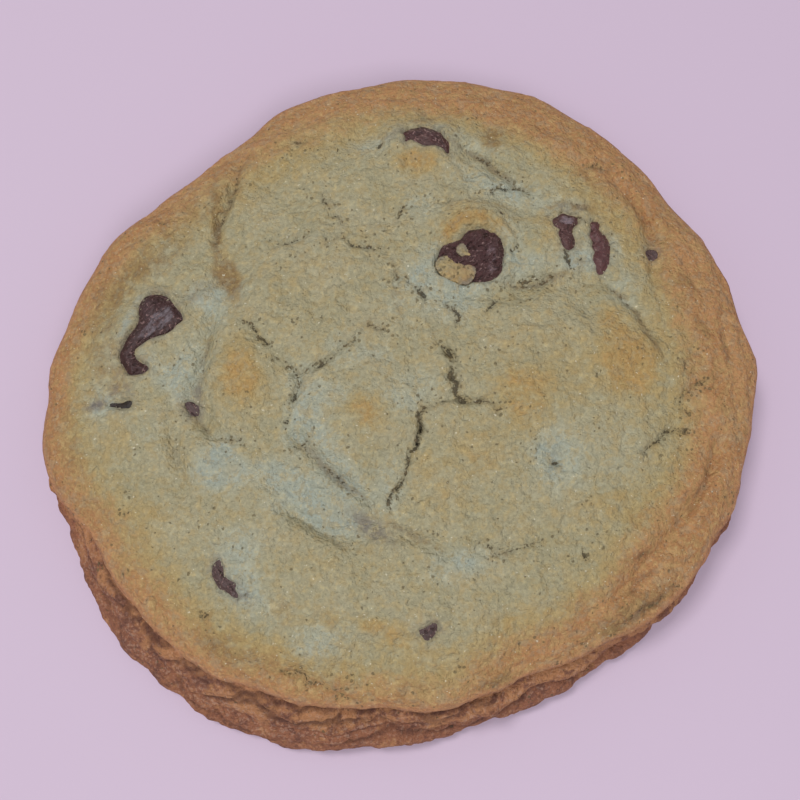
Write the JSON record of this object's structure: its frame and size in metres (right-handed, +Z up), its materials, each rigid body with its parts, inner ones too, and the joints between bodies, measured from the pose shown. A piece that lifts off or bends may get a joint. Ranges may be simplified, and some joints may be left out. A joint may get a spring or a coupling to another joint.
{
  "type": "chocolate chip cookie",
  "caption": "Thick soft-baked chocolate chip cookie with a domed, cracked golden crust, a stepped brown foot and dark chips showing.",
  "frame": {"origin": "middle of the cookie's box at the flat underside it rests on", "axes": "+Z up through the cookie's thickness; the foot stands out furthest towards -X and -Y, the far edge of the picture is +Y"},
  "size_m": [0.1083, 0.1053, 0.0169],
  "materials": {
    "crust": "matte baked dough, pale gold with a browned rim",
    "chocolate": "dark chocolate, softly glossy with a faint bloom"
  },
  "bodies": {
    "root": {"cookie": "crust", "chip_top": "chocolate", "chip_crown": "chocolate", "chip_right_inner": "chocolate", "chip_right_outer": "chocolate", "chip_far_right": "chocolate", "chip_left": "chocolate", "chip_left_slit": "chocolate", "chip_left_small": "chocolate", "chip_lower_left": "chocolate", "chip_low": "chocolate"}
  },
  "joints": []
}
